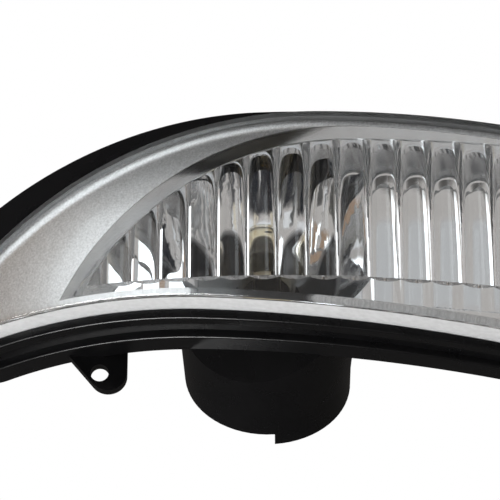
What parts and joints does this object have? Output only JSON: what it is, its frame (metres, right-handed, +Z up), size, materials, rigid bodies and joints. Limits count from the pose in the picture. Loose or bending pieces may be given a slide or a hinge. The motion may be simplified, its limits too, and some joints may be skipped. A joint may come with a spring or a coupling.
{
  "type": "mirror turn signal lamp",
  "caption": "Wrap-round door mirror indicator lamp: fluted clear lens in a black stepped housing, metallised reflector, amber wedge bulb in a quarter-turn holder on a rear socket tower.",
  "frame": {"origin": "midway between the two fixing screw holes, on the plane where their lugs seat", "axes": "+X inboard along the lamp, -Y out through the lens, +Z up"},
  "size_m": [0.1612, 0.0515, 0.053],
  "materials": {
    "clear_lens": "clear moulded",
    "black_housing": "moulded black",
    "metallised": "vacuum metallised, satin border",
    "holder_plastic": "moulded",
    "seal_rubber": "matt",
    "contact_brass": "stamped",
    "amber_glass": "tinted",
    "lead_wire": "drawn"
  },
  "bodies": {
    "lamp": {"housing": "black_housing", "lens": "clear_lens", "reflector": "metallised"},
    "holder": {"bulb_holder": "holder_plastic", "holder_seal": "seal_rubber", "contact_outboard": "contact_brass", "contact_inboard": "contact_brass", "bulb_glass": "amber_glass", "bulb_lead_outboard": "lead_wire", "bulb_lead_inboard": "lead_wire", "bulb_filament": "lead_wire"}
  },
  "joints": [
    {"name": "bulb_holder_turn", "type": "hinge", "parent": "lamp", "child": "holder", "pos_m": [-0.0306, 0.0078, 0.0041], "axis": [0, 0.9397, -0.342], "range_deg": [0, 45]}
  ]
}
